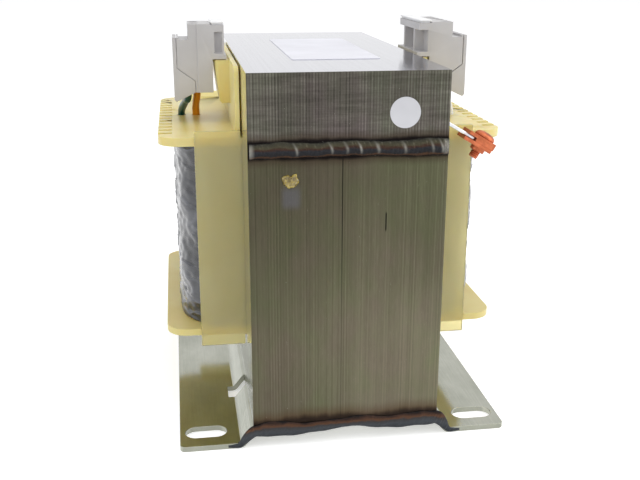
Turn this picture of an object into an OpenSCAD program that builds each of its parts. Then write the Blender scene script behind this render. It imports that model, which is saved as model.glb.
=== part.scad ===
// Welded EI chassis transformer with a moulded coil former and two terminal strips.
// Millimetres. X runs through the sheet stack, Y across the core, Z up from the feet.

/* [Core] */
// Thickness of one core sheet
sheet_t = 0.5; // [0.35:0.05:0.65]
// Number of sheets in the stack
sheet_count = 134; // [110:2:150]
// Width of the centre limb
tongue_w = 50; // [40:1:60]
// Width of each outer limb
limb_w = 25; // [20:1:30]
// Width of each window
window_w = 25; // [23:0.5:32]
// Height of each window
window_h = 75; // [60:1:90]
// Height of the E sheet's back below the windows
back_h = 25; // [20:1:30]
// Height of the yoke above the windows
yoke_h = 25; // [22:1:30]
// Depth of the groove between two sheet edges
groove_d = 0.15; // [0.05:0.05:0.3]
// Width of the groove between two sheet edges
groove_w = 0.12; // [0.06:0.02:0.2]

/* [Base plate] */
// Thickness of the base sheet
plate_t = 2; // [1.5:0.25:3]
// Step from the feet up to the core's underside
foot_drop = 5.5; // [4:0.5:8]
// Run of the sloped bend beside the core
bend_run = 4.5; // [3:0.5:6]
// Inner radius of the bends
bend_r = 1; // [0.5:0.25:2]
// Flat width of each foot
foot_flat = 21.5; // [20:0.5:30]
// Radius of the feet's outer corners
foot_corner_r = 2; // [1:0.5:4]
// Length of each fixing slot
slot_l = 15; // [11:0.5:16]
// Width of each fixing slot
slot_w = 8; // [5:0.5:9]
// Distance from the bend to the centre of a slot
slot_from_bend = 12; // [10.5:0.5:12.5]
// Distance from the plate's end to the centre of a slot
slot_inset = 10; // [7:0.5:14]
// Width of the relief cut across each bend
relief_w = 9; // [6:0.5:12]
// Distance from the middle of the plate to each relief cut
relief_y = 34.5; // [25:0.5:42]
// Reach of the relief cut onto the flat of the foot
relief_reach = 2.3; // [1:0.1:3]

/* [Welds] */
// Height of the bead on the joint between E sheets and yoke
seam_bead_h = 5.6; // [3:0.2:7]
// Height that the base bead climbs on the core's face
base_bead_rise = 1.8; // [1:0.1:3]
// Mean depth of the base bead below the core's underside
base_bead_drop = 2.7; // [2.4:0.1:3.4]
// How far a bead stands out of the core's face
bead_out = 1.2; // [0.8:0.1:1.8]
// Gap from the end of a bead to the side of the stack
bead_end_gap = 0.4; // [0.2:0.1:2]

/* [Coil former] */
// Gap between the former's tube and the core
tongue_clear = 0.4; // [0.2:0.05:0.6]
// Wall of the former's tube
tube_wall = 1.6; // [1.2:0.1:2]
// Thickness of the top flange
top_flange_t = 3; // [2:0.25:4]
// Thickness of the bottom flange
low_flange_t = 2.5; // [2:0.25:3.5]
// Rim of the flanges beyond the coil on the open sides
flange_rim = 6.4; // [5:0.2:9]
// Radius of the flanges' corners
flange_corner_r = 8; // [5:0.5:10]
// Pitch of the slots along the comb edges
comb_pitch = 6.3; // [5:0.1:8]
// Width of a comb slot
comb_slot_w = 2.4; // [1.5:0.1:3]
// Depth of a comb slot
comb_slot_d = 5; // [3:0.25:5.5]
// Height of the upright walls beside the yoke
barrier_h = 24.2; // [15:0.2:26]
// Thickness of the upright walls
barrier_t = 1.6; // [1.2:0.1:2]
// Gap from the ends of the upright walls to the flange's edge
barrier_inset = 0.5; // [0.5:0.5:12]
// Depth of the rail that carries a terminal strip
rail_depth = 5.7; // [4.5:0.1:7]
// Height of the rail above the top flange
rail_top = 23.3; // [20:0.1:27]
// Height of the rail's own section
rail_h = 15.9; // [12:0.1:18]
// Draft of the rail's outer face from its top to its foot
rail_draft = 1.9; // [0:0.1:2.5]

/* [Window liners] */
// Thickness of a window liner
liner_t = 1.6; // [1:0.1:2]
// Gap between a liner and the core limb
liner_clear = 0.2; // [0.1:0.05:0.4]
// Reach of the liner beyond the sheet stack on each side
liner_reach = 16.5; // [10:0.5:18]
// Reach of the liner's tabs above the window
liner_rise = 2; // [1:0.25:4]
// Reach of the liner's tabs below the window
liner_sink = 3.3; // [1:0.25:4]

/* [Coil] */
// Gap between the coil and the window liners
coil_clear = 0.6; // [0.3:0.1:1]
// Gap between the coil's ends and the flanges
coil_end_gap = 0.3; // [0.2:0.1:1]
// Build of the primary winding
primary_build = 9.2; // [6:0.2:10]
// Thickness of the insulation between the windings
insulation_t = 0.9; // [0.5:0.1:1.5]
// Thickness of the outer tape wrap
wrap_t = 0.9; // [0.6:0.1:1.5]
// Bulge of the wrapped coil on its open sides
coil_crown = 1; // [0:0.1:1.5]

/* [Terminal strips] */
// Length of one terminal moulding along the strip
module_l = 15.5; // [13:0.25:18]
// Place of the strips' middle along the core
strip_shift = -2.5; // [-8:0.25:8]
// Gap between a strip and its rail
strip_clear = 0.3; // [0.2:0.05:0.5]
// Depth of the moulding's body
body_depth = 14.6; // [14:0.1:17]
// Overhang of the moulding's hook above the rail
hook_over = 4.4; // [3.5:0.1:5]
// Height of the body from its foot to its top
body_h = 25.1; // [24:0.1:28]
// Height of the hook's underside above the body's foot
hook_h = 12.2; // [11.5:0.1:13]
// Thickness of the hook's ledge
ledge_t = 1.7; // [1.2:0.1:2.2]
// Thickness of the roof over the pockets
roof_t = 3; // [2.5:0.1:4]
// Depth of the stepped shoulder
shoulder_w = 5.8; // [5:0.1:7]
// Drop from the body's top to the shoulder
shoulder_drop = 5.7; // [4.5:0.1:7]
// Drop of the nose below the body's foot
nose_drop = 3.4; // [2.5:0.1:5]
// Width of the rib between two pockets
rib_t = 1.8; // [1.2:0.1:2.5]
// Thickness of the end plate
end_plate_t = 1.5; // [1:0.1:2]
// Side of the square wire entries
entry_w = 5; // [4.4:0.1:5.2]
// Diameter of the screwdriver holes
driver_d = 3.8; // [3:0.1:4]
// Thickness of the front covers' skin
cover_t = 1.3; // [1:0.1:1.6]
// Gap between a front cover and its body
cover_gap = 0.25; // [0.15:0.05:0.3]
// Height of the marker strip
marker_h = 1.2; // [1:0.1:2]
// Width of the marker strip
marker_w = 4.9; // [4:0.1:5.5]
// Depth of the seat that the marker strip lies in
marker_seat = 0.4; // [0.2:0.1:0.8]
// Depth of the open pockets on the core side
pocket_d = 3.6; // [2:0.1:4]
// Reach of the front cover under the body
cover_reach = 7.9; // [6:0.1:8.5]

/* [Leads] */
// Diameter of a winding lead
lead_d = 2.8; // [1.6:0.1:3]
// Gap round a lead where it passes a hole
lead_clear = 0.4; // [0.2:0.1:0.6]

/* [Earth terminal] */
// Thickness of the earth strip
strap_t = 1.2; // [0.8:0.1:1.6]
// Width of the earth strip
strap_w = 5; // [4:0.25:6]
// Length of the earth strip
strap_l = 15.5; // [14:0.5:18]
// Downward tilt of the earth strip
strap_tilt = 30.5; // [20:0.5:35]
// Distance of the earth strip's middle behind the core's front face
strap_from_face = 17; // [13:0.5:18]
// Height of the earth strip's root above the joint of the core
strap_rise = 6.4; // [4:0.2:9]
// Length of the clamp
clamp_l = 11; // [10:0.25:13]
// Width of the clamp
clamp_w = 8; // [7:0.25:9]
// Thickness of each jaw of the clamp
jaw_t = 1.3; // [1:0.1:1.8]
// Length of the strip that the clamp holds
clamp_bite = 3.2; // [2:0.1:3.6]
// Diameter of the earth screw's thread
screw_d = 3.5; // [3:0.1:4]
// Diameter of the earth screw's head
head_d = 7.6; // [6.5:0.1:7.8]
// Height of the earth screw's head
head_h = 2.2; // [1.6:0.1:2.8]

/* [Labels] */
// Width of the label on the core's top
label_w = 32; // [20:1:50]
// Length of the label on the core's top
label_l = 81; // [40:1:120]
// Diameter of the round sticker
sticker_d = 10.3; // [6:0.1:16]
// Distance of the sticker's centre from the middle of the stack
sticker_x = 18.4; // [0:0.1:24]
// Thickness of both labels
label_t = 0.2; // [0.1:0.05:0.3]

/* [Hidden] */
$fn = 48;
eps = 0.01;
cut = 1;

// Core
stack_w = sheet_t * sheet_count;
stack_x = stack_w / 2;
core_w = tongue_w + 2 * window_w + 2 * limb_w;
core_y = core_w / 2;
core_z = plate_t + foot_drop;
window_z = core_z + back_h;
joint_z = window_z + window_h;
core_top = joint_z + yoke_h;
limb_y = tongue_w / 2 + window_w;

// Base plate
foot_x = stack_x + bend_run;
plate_x = foot_x + foot_flat;
slot_x = foot_x + slot_from_bend;
slot_y = core_y - slot_inset;
bend_steps = 6;

// Coil former, from the core outwards
tube_in_x = stack_x + tongue_clear;
tube_in_y = tongue_w / 2 + tongue_clear;
tube_x = tube_in_x + tube_wall;
tube_y = tube_in_y + tube_wall;
liner_y = limb_y - liner_clear;
coil_y = liner_y - liner_t - coil_clear;
coil_build = coil_y - tube_y;
coil_x = tube_x + coil_build;
flange_x = coil_x + flange_rim;
flange_y = liner_y - liner_t - liner_clear;
former_z = window_z + tongue_clear;
former_top = joint_z - tongue_clear;
coil_z = former_z + low_flange_t + coil_end_gap;
coil_top = former_top - top_flange_t - coil_end_gap;
coil_h = coil_top - coil_z;
barrier_x = tube_in_x + barrier_t;
barrier_l = 2 * (flange_y - barrier_inset);
rail_x = barrier_x + rail_depth;
rail_z = former_top + rail_top;

// Coil layers
secondary_build = coil_build - primary_build - insulation_t - wrap_t;
insulation_in = primary_build;
secondary_in = insulation_in + insulation_t;
wrap_in = secondary_in + secondary_build;

// Terminal strips, u outwards from the core and v along the strip
module_gap = 0.1;
module_count = 2;
poles = 2;
strip_l = module_l * module_count;
strip_v = -strip_l / 2;
pole_l = module_l / poles;
body_u = rail_x + strip_clear;
hook_u = body_u - hook_over;
lip_t = 0.7;
ledge_u = hook_u - lip_t;
nose_u = body_u + body_depth;
body_z = rail_z + strip_clear - hook_h;
hook_z = body_z + hook_h;
pocket_z = hook_z + ledge_t;
body_top = body_z + body_h;
roof_z = body_top - roof_t;
step_u = nose_u - shoulder_w;
shoulder_z = body_top - shoulder_drop;
pocket_u = hook_u + pocket_d;
panel_u = nose_u - 9.1;
panel_step = 0.4;
split_u = nose_u - cover_reach;
split_h = 4.2;
split_slope_h = 4.8;
split_z = body_z + split_h;
ridge_w = 2.2;
ridge_h = 0.8;
nose_bevel = 0.8;
nose_z = body_z - nose_drop;
cover_u = nose_u - cover_t;
cover_low_z = split_z + split_slope_h;
cage_w = 6.2;
cage_d = 6.4;
cage_h = 8.5;
cage_wall = 0.8;
cage_roof = 1.8;
screw_rest = 4.7;
screw_thread_d = 2.5;
cage_set_back = 0.7;
cage_depth = 9.8;
cage_u = step_u - cage_set_back;
cage_z = shoulder_z - cage_depth;
entry_z = cage_z + cage_wall + screw_rest / 2;
driver_offset = 1.4;
driver_u = cage_u - driver_offset;

// Earth terminal
strap_z = joint_z + strap_rise;
strap_y = core_y - strap_from_face;

// Labels
sticker_drop = 1.1;
sticker_z = core_top - yoke_h / 2 - sticker_drop;
label_shift = 1.5;

// Winding leads: where each one leaves its terminal, and where it goes through the top flange
green_u = nose_u - 4.9;
green_foot = [2.4 - coil_x, 1.8];
orange_u = nose_u - 8.6;
orange_foot = [8.1 - coil_x, 1.2];
white_u = nose_u - 7.1;
white_foot = [coil_x - 3.5, -12];
slot_play = 0.6;
lead_steps = 4;
lead_sides = 12;

// A flat plate with round corners, centred on Z's axis
module rounded_plate(w, d, h, r) {
  linear_extrude(h) rounded_outline(w, d, r);
}

module rounded_outline(w, d, r) {
  square([w - 2 * r, d], center = true);
  square([w, d - 2 * r], center = true);
  for (sx = [-1, 1], sy = [-1, 1])
    translate([sx * (w / 2 - r), sy * (d / 2 - r)]) circle(r);
}

// A box given by its lowest and highest corners
module block(low, high) {
  translate(low) cube(high - low);
}

// ---------- core ----------

// Outline of the stack seen from above: each sheet's edge stands proud of its groove
function stack_edge(side) = [
  for (i = [0 : sheet_count - 1], k = [0 : 3])
    let (
      x = -stack_x + i * sheet_t + [0, sheet_t - groove_w, sheet_t - groove_w, sheet_t][k],
      last = i == sheet_count - 1,
      deep = k > 1 && !last ? groove_d : 0
    )
    [k == 1 && last ? stack_x - groove_w : x, side * (core_y - deep)]
];

function reversed(list) = [for (i = [len(list) - 1 : -1 : 0]) list[i]];

module sheet_stack(h) {
  linear_extrude(h) polygon(concat(stack_edge(-1), reversed(stack_edge(1))));
}

module e_core() {
  color([0.44, 0.43, 0.38])
    difference() {
      translate([0, 0, core_z]) sheet_stack(back_h + window_h);
      for (side = [-1, 1])
        translate([0, side * (tongue_w + window_w) / 2, window_z + window_h / 2 + cut / 2])
          cube([stack_w + 2 * cut, window_w, window_h + cut], center = true);
    }
}

module i_yoke() {
  color([0.5, 0.5, 0.47]) translate([0, 0, joint_z]) sheet_stack(yoke_h);
}

// ---------- welds ----------

// One bead along X on a face at y = 0: a row of round segments, each of which runs from
// z = low to z = high and stands out by bead_out
module bead(length, lows, highs) {
  step = length / len(lows);
  intersection() {
    union()
      for (i = [0 : len(lows) - 1]) {
        half = (highs[i] - lows[i]) / 2;
        r = (half * half + bead_out * bead_out) / (2 * bead_out);
        translate([-length / 2 + i * step, r - bead_out, (highs[i] + lows[i]) / 2])
          rotate([0, 90, 0]) cylinder(r = r, h = step + eps, $fn = 72);
      }
    block([-length / 2, -bead_out - cut, min(lows) - cut], [length / 2, 0, max(highs) + cut]);
  }
}

bead_l = stack_w - 2 * bead_end_gap;
bead_count = 30;
ripple = 0.3;
sag = 0.5;
beads = [0 : bead_count - 1];
seam_high = [for (i = beads) seam_bead_h / 2 + ripple * (sin(i * 97) + sin(i * 31)) * 0.7];
seam_low = [for (i = beads) -seam_bead_h / 2 - ripple * sin(i * 83)];
base_high = [for (i = beads) base_bead_rise + ripple * sin(i * 61)];
base_low = [for (i = beads) -base_bead_drop + sag * cos(720 * i / bead_count + 200)];

module yoke_weld(side) {
  color([0.33, 0.34, 0.36])
    translate([0, side * core_y, joint_z])
      rotate([0, 0, side > 0 ? 180 : 0]) bead(bead_l, seam_low, seam_high);
}

// The base bead joins the core to the sheet's edge and runs down the edge of each bend
module base_weld(side) {
  slope = atan(foot_drop / bend_run);
  tail_l = 0.9 * bend_run / cos(slope);
  overlap = 0.4;
  color([0.29, 0.3, 0.32])
    translate([0, side * core_y, core_z])
      rotate([0, 0, side > 0 ? 180 : 0]) {
        bead(bead_l, base_low, base_high);
        for (end = [-1, 1])
          translate([end * (bead_l / 2 - overlap), 0, -plate_t / 2])
            mirror([end < 0 ? 1 : 0, 0, 0])
              rotate([0, slope, 0])
                translate([tail_l / 2, 0, 0]) bead(tail_l, [-1.8, -1.6], [1.2, 1]);
      }
}

// ---------- base plate ----------

// Points on an arc about a centre, from one angle to another
function arc(centre, r, from, to) = [
  for (k = [0 : bend_steps])
    let (turn = from + (to - from) * k / bend_steps)
    centre + r * [cos(turn), sin(turn)]
];

// Half of the sheet's profile: over the crest beside the core, down the slope and out along the foot
module base_plate() {
  slope = atan(foot_drop / bend_run);
  outer_r = bend_r + plate_t;
  crest = [stack_x - outer_r * tan(slope / 2), core_z - outer_r];
  toe = [foot_x + bend_r * tan(slope / 2), plate_t + bend_r];
  half = concat(
    arc(crest, bend_r, 90, 90 - slope), arc(toe, outer_r, 270 - slope, 270),
    [[plate_x, 0], [plate_x, plate_t]],
    arc(toe, bend_r, 270, 270 - slope), arc(crest, outer_r, 90 - slope, 90)
  );
  other_half = [for (p = reversed(half)) [-p[0], p[1]]];
  profile = concat(half, other_half);
  color([0.66, 0.68, 0.62])
    difference() {
      intersection() {
        translate([0, core_y, 0]) rotate([90, 0, 0]) linear_extrude(core_w) polygon(profile);
        translate([0, 0, -cut]) rounded_plate(2 * plate_x, core_w, core_z + 2 * cut, foot_corner_r);
      }
      for (sx = [-1, 1], sy = [-1, 1]) {
        translate([sx * slot_x, sy * slot_y, -cut]) fixing_slot();
        translate([sx * (stack_x + (bend_run + relief_reach) / 2), sy * relief_y, 0])
          cube([bend_run + relief_reach, relief_w, 2 * core_z + cut], center = true);
      }
    }
}

module fixing_slot() {
  reach = (slot_l - slot_w) / 2;
  for (end = [-1, 1])
    translate([end * reach, 0, 0]) cylinder(d = slot_w, h = plate_t + 2 * cut);
  translate([-reach, -slot_w / 2, 0]) cube([2 * reach, slot_w, plate_t + 2 * cut]);
}

// ---------- coil former ----------

comb_room = 2 * flange_y - 2 * flange_corner_r;
comb_count = floor(comb_room / comb_pitch);

module comb_slots() {
  for (side = [-1, 1], i = [0 : comb_count])
    translate([side * flange_x, (i - comb_count / 2) * comb_pitch, former_top - top_flange_t / 2])
      cube([2 * comb_slot_d, comb_slot_w, top_flange_t + cut], center = true);
}

// One upright wall beside the yoke, with the rail of its terminal strip
module barrier() {
  round_r = 3;
  translate([tube_in_x, 0, former_top - eps])
    rotate([90, 0, 90]) linear_extrude(barrier_t)
      union() {
        translate([0, barrier_h / 2]) rounded_outline(barrier_l, barrier_h, round_r);
        translate([-barrier_l / 2, 0]) square([barrier_l, barrier_h / 2]);
      }
}

module rail() {
  length = strip_l + end_plate_t;
  edge_r = 2;
  under_r = 1.2;
  intersection() {
    translate([barrier_x + rail_depth / 2 - edge_r, strip_shift, rail_z - rail_h])
      rounded_plate(rail_depth + 2 * edge_r, length, rail_h, edge_r);
    translate([0, strip_shift + length / 2 + cut, 0])
      rotate([90, 0, 0])
        linear_extrude(length + 2 * cut)
          hull() {
            translate([barrier_x - barrier_t / 2, rail_z - rail_h]) square([barrier_t / 2, rail_h]);
            translate([rail_x - eps, rail_z - eps]) square(eps);
            translate([rail_x - rail_draft - under_r, rail_z - rail_h + under_r]) circle(under_r);
          }
  }
}

module coil_former() {
  color([0.88, 0.83, 0.5])
    difference() {
      union() {
        translate([0, 0, former_z])
          rounded_plate(2 * flange_x, 2 * flange_y, low_flange_t, flange_corner_r);
        translate([0, 0, former_top - top_flange_t])
          rounded_plate(2 * flange_x, 2 * flange_y, top_flange_t, flange_corner_r);
        block([-tube_x, -tube_y, former_z], [tube_x, tube_y, former_top]);
        barrier();
        rotate([0, 0, 180]) barrier();
        rail();
        mirror([1, 0, 0]) rail();
      }
      block([-tube_in_x, -tube_in_y, former_z - cut], [tube_in_x, tube_in_y, former_top + cut]);
      comb_slots();
      for (foot = [green_foot, orange_foot, white_foot, rear_white_foot])
        translate([foot[0], foot[1], former_top - top_flange_t - cut])
          cylinder(d = lead_d + 2 * lead_clear, h = top_flange_t + 2 * cut);
    }
}

// ---------- window liners ----------

module window_liner(side) {
  half_x = stack_x + liner_reach;
  low = window_z + tongue_clear;
  high = joint_z - tongue_clear;
  color([0.82, 0.78, 0.5])
    rotate([0, 0, side > 0 ? 180 : 0]) {
      block([-half_x, -liner_y, low], [half_x, -liner_y + liner_t, high]);
      for (end = [-1, 1])
        mirror([end < 0 ? 1 : 0, 0, 0])
          block(
            [tube_in_x, -liner_y, window_z - liner_sink],
            [half_x, -liner_y + liner_t, joint_z + liner_rise]
          );
    }
}

// ---------- coil ----------

// Plan outline of a layer at a given build: flat along the windows, crowned on the open sides.
// Each quarter has round_steps points on its corner and side_steps on half of its crowned side.
round_steps = 8;
side_steps = 4;
function bulge(y, build, crown) = crown * max(0, cos(90 * y / (tube_y + build)));
function quarter_point(k, build, crown) =
  let (
    a = 90 * min(k, round_steps) / round_steps,
    y = k > round_steps ? tube_y * (1 - (k - round_steps) / side_steps) : tube_y + build * cos(a)
  )
  [tube_x + build * sin(a) + bulge(y, build, crown), y];
function coil_outline(build, crown) = [
  for (quarter = [0 : 3], k = [0 : round_steps + side_steps - 1])
    let (
      p = quarter_point(quarter % 2 == 0 ? k : round_steps + side_steps - k, build, crown),
      sx = [1, 1, -1, -1][quarter],
      sy = [1, -1, -1, 1][quarter]
    )
    [sx * p[0], sy * p[1]]
];

module coil_layer(low_build, high_build, low_crown, high_crown) {
  translate([0, 0, coil_z])
    linear_extrude(coil_h)
      difference() {
        polygon(coil_outline(high_build, high_crown));
        if (low_build > 0) polygon(coil_outline(low_build, low_crown));
        else square([2 * tube_x, 2 * tube_y], center = true);
      }
}

module primary_winding() {
  color([0.72, 0.38, 0.18]) coil_layer(0, insulation_in, 0, 0);
}

module winding_insulation() {
  color([0.85, 0.8, 0.6]) coil_layer(insulation_in, secondary_in, 0, 0);
}

module secondary_winding() {
  color([0.74, 0.4, 0.2]) coil_layer(secondary_in, wrap_in, 0, coil_crown);
}

module outer_wrap() {
  color([0.16, 0.16, 0.18]) coil_layer(wrap_in, coil_build, coil_crown, coil_crown);
}

// ---------- terminal strips ----------

// Places its children on one strip: v runs backwards on the right and forwards on the left
module on_strip(side) {
  translate([0, strip_shift, 0])
    rotate([0, 0, side < 0 ? 180 : 0]) translate([0, -end_plate_t / 2, 0]) children();
}

function whole_profile() = [
  [body_u, body_z], [split_u, body_z], [nose_u - nose_bevel, nose_z], [nose_u, nose_z + nose_bevel],
  [nose_u, shoulder_z + ridge_h], [nose_u - ridge_w, shoulder_z + ridge_h], [nose_u - ridge_w, shoulder_z],
  [step_u, shoulder_z], [step_u, body_top], [hook_u + marker_w, body_top],
  [hook_u + marker_w, body_top - marker_seat], [hook_u, body_top - marker_seat],
  [hook_u, pocket_z], [ledge_u, pocket_z], [ledge_u, hook_z], [body_u, hook_z]
];

// The body stops at the parting line, and the front cover takes the rest
function cover_profile(grow) = [
  [split_u - grow, nose_z - cut],
  [split_u - grow, split_z + grow * 0.6], [cover_u - grow, cover_low_z + grow * 0.6],
  [cover_u - grow, shoulder_z + cut], [nose_u + cut, shoulder_z + cut], [nose_u + cut, nose_z - cut]
];

// The left strip holds one moulding, at the front end of its rail
function first_module(side) = side < 0 ? module_count - 1 : 0;
function start_v(side) = strip_v + first_module(side) * module_l;

module along_v(length) {
  translate([0, length, 0]) rotate([90, 0, 0]) linear_extrude(length) children();
}

module terminal_body(side, index) {
  v = strip_v + index * module_l;
  color([0.8, 0.79, 0.77])
    on_strip(side) translate([0, v, 0])
      difference() {
        along_v(module_l) polygon(whole_profile());
        translate([0, -cut, 0]) along_v(module_l + 2 * cut) polygon(cover_profile(cover_gap));
        for (pocket = [-cut, module_l / 2 + rib_t / 2])
          block(
            [ledge_u - cut, pocket, pocket_z],
            [pocket_u, pocket + module_l / 2 - rib_t / 2 + cut, roof_z]
          );
        for (p = [0 : poles - 1])
          translate([0, (p + 0.5) * pole_l, 0]) pole_cavity();
      }
}

// Room for one clamp: the cage, its wire entry, the screwdriver hole and the lead's way in
module pole_cavity() {
  room = 0.2;
  translate([cage_u, 0, cage_z + cage_h / 2])
    cube([cage_d + 2 * room, cage_w + 2 * room, cage_h + 2 * room], center = true);
  wire_entry();
  translate([driver_u, 0, cage_z + cage_h]) cylinder(d = driver_d, h = body_top - cage_z);
  lead_slot();
}

module wire_entry() {
  block(
    [cage_u, -entry_w / 2, entry_z - entry_w / 2],
    [nose_u + cut, entry_w / 2, entry_z + entry_w / 2]
  );
}

// Slot on the underside for the lead, long enough for two places
module lead_slot() {
  w = lead_d + 2 * lead_clear;
  h = cage_z - nose_z + 2 * cut;
  for (u = [orange_u, green_u + slot_play])
    translate([u, 0, nose_z - cut]) cylinder(d = w, h = h);
  translate([orange_u, -w / 2, nose_z - cut]) cube([green_u + slot_play - orange_u, w, h]);
}

module terminal_cover(side, index) {
  v = strip_v + index * module_l;
  length = module_l - module_gap;
  color([0.8, 0.79, 0.77])
    on_strip(side) translate([0, v, 0])
      difference() {
        intersection() {
          along_v(length) polygon(whole_profile());
          along_v(length) polygon(cover_profile(0));
        }
        for (p = [0 : poles - 1])
          translate([0, (p + 0.5) * pole_l, 0]) {
            wire_entry();
            lead_slot();
          }
      }
}

// One screw-down cage: a square tube across the wire's way, with a threaded roof
module clamp_cage(side, pole) {
  inner_w = cage_w - 2 * cage_wall;
  color([0.78, 0.76, 0.7])
    on_strip(side) translate([cage_u, strip_v + (pole + 0.5) * pole_l, cage_z])
      difference() {
        translate([-cage_d / 2, -cage_w / 2, 0]) cube([cage_d, cage_w, cage_h]);
        translate([-cage_d / 2 - cut, -inner_w / 2, cage_wall])
          cube([cage_d + 2 * cut, inner_w, cage_h - cage_roof - cage_wall]);
        translate([driver_u - cage_u, 0, cage_h - cage_roof - cut])
          cylinder(d = screw_thread_d, h = cage_roof + 2 * cut);
      }
}

module clamp_screws(side) {
  tip = cage_wall + screw_rest;
  clamp_head_h = 1.6;
  color([0.7, 0.7, 0.72])
    for (pole = [first_module(side) * poles : module_count * poles - 1])
      on_strip(side) translate([driver_u, strip_v + (pole + 0.5) * pole_l, cage_z])
        difference() {
          union() {
            translate([0, 0, tip]) cylinder(d = screw_thread_d - 0.04, h = cage_h - tip + eps);
            translate([0, 0, cage_h]) cylinder(d = driver_d - 0.3, h = clamp_head_h);
          }
          translate([-driver_d, -0.3, cage_h + clamp_head_h / 2]) cube([2 * driver_d, 0.6, clamp_head_h]);
        }
}

// The plate's inner part stands proud of its outer part by a small step
module end_plate(side) {
  window_edge = 0.7;
  window_foot = 0.4;
  line_d = 0.4;
  low_t = end_plate_t - panel_step;
  color([0.8, 0.79, 0.77])
    on_strip(side) translate([0, strip_v + strip_l, 0])
      difference() {
        union() {
          along_v(low_t) polygon(whole_profile());
          along_v(end_plate_t)
            intersection() {
              polygon(whole_profile());
              translate([ledge_u - cut, nose_z]) square([panel_u - ledge_u + cut, body_h + body_depth]);
            }
        }
        block(
          [hook_u + window_edge, -cut, pocket_z + window_foot],
          [pocket_u, end_plate_t + cut, roof_z]
        );
        translate([0, low_t - line_d, 0])
          along_v(cut)
            difference() {
              polygon(cover_profile(cover_gap));
              polygon(cover_profile(0));
            }
      }
}

// A slab on a narrower foot, which leaves a shadow line under its edges
module marker_strip(side) {
  z = body_top - marker_seat;
  play = 0.05;
  foot_h = marker_seat + 0.2;
  foot_inset = 0.5;
  start = start_v(side) + play;
  end = strip_v + strip_l + (side < 0 ? end_plate_t : 0) - play;
  color([0.95, 0.95, 0.95])
    on_strip(side) {
      block(
        [hook_u + foot_inset, start + foot_inset, z],
        [hook_u + marker_w - foot_inset, end - foot_inset, z + foot_h + eps]
      );
      block([hook_u, start, z + foot_h], [hook_u + marker_w - play, end, z + marker_h]);
    }
}

// ---------- leads ----------

// Middle of a pole along Y
function pole_y(side, pole) = strip_shift + side * (strip_v + (pole + 0.5) * pole_l - end_plate_t / 2);

rear_white_foot = [white_foot[0], white_foot[1] + 2 * pole_l];

// Height of the strip's underside at u
function underside(u) = body_z - nose_drop * max(0, u - split_u) / (nose_u - nose_bevel - split_u);

// Down out of the terminal, across to the hole in the flange, and down through it
function lead_route(side, pole, u, foot) =
  let (top = [side * u, pole_y(side, pole)])
  [
    [top[0], top[1], cage_z - strip_clear],
    [top[0], top[1], underside(u) - 0.5],
    [0.7 * top[0] + 0.3 * foot[0], 0.65 * top[1] + 0.35 * foot[1], former_top + 7],
    [0.15 * top[0] + 0.85 * foot[0], 0.15 * top[1] + 0.85 * foot[1], former_top + 3],
    [foot[0], foot[1], former_top + 0.4],
    [foot[0], foot[1], former_top - top_flange_t]
  ];

// Smooth path through a route's points, and rings of a round tube round it
function spline(a, b, c, d, t) =
  0.5 * (2 * b + (c - a) * t + (2 * a - 5 * b + 4 * c - d) * t * t + (3 * b - a - 3 * c + d) * t * t * t);
function smooth(pts) = concat(
  [
    for (i = [0 : len(pts) - 2], k = [0 : lead_steps - 1])
      spline(pts[max(i - 1, 0)], pts[i], pts[i + 1], pts[min(i + 2, len(pts) - 1)], k / lead_steps)
  ],
  [pts[len(pts) - 1]]
);
function unit(v) = v / norm(v);
function along(path, i) = unit(path[min(i + 1, len(path) - 1)] - path[max(i - 1, 0)]);

module tube_along(route, d) {
  path = smooth(route);
  n = len(path);
  rings = [
    for (i = [0 : n - 1])
      let (w = along(path, i), side = unit(cross([0, 1, 0], w)), up = cross(w, side))
      for (k = [0 : lead_sides - 1])
        path[i] + d / 2 * (cos(360 * k / lead_sides) * side + sin(360 * k / lead_sides) * up)
  ];
  walls = [
    for (i = [0 : n - 2], k = [0 : lead_sides - 1])
      let (a = i * lead_sides + k, b = i * lead_sides + (k + 1) % lead_sides)
      [b, a, a + lead_sides, b + lead_sides]
  ];
  ends = [
    [for (k = [0 : lead_sides - 1]) k],
    [for (k = [lead_sides - 1 : -1 : 0]) (n - 1) * lead_sides + k]
  ];
  polyhedron(points = rings, faces = concat(walls, ends), convexity = 4);
}

module lead(side, pole, u, foot, tint) {
  color(tint) tube_along(lead_route(side, pole, u, foot), lead_d);
}

// ---------- earth terminal ----------

module at_strap() {
  translate([stack_x + eps, -strap_y, strap_z]) rotate([0, strap_tilt, 0]) children();
}

module earth_strap() {
  color([0.82, 0.83, 0.85])
    difference() {
      at_strap() translate([-strap_t, -strap_w / 2, 0]) cube([strap_l + strap_t, strap_w, strap_t]);
      block([stack_x - 10, -core_y, 0], [stack_x, 0, core_top + cut]);
    }
}

clamp_start = strap_l - clamp_bite;
screw_at = clamp_start + clamp_bite + (clamp_l - clamp_bite) / 2;

// The clamp's upper jaw and its solid heel beyond the strip's end
module earth_clamp() {
  color([0.72, 0.42, 0.27])
    at_strap()
      difference() {
        translate([clamp_start, -clamp_w / 2, 0])
          difference() {
            cube([clamp_l, clamp_w, strap_t + jaw_t]);
            translate([-cut, -cut, -cut]) cube([clamp_bite + 0.2 + cut, clamp_w + 2 * cut, strap_t + cut]);
          }
        translate([screw_at, 0, -cut]) cylinder(d = screw_d + 0.4, h = strap_t + jaw_t + 2 * cut);
      }
}

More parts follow.
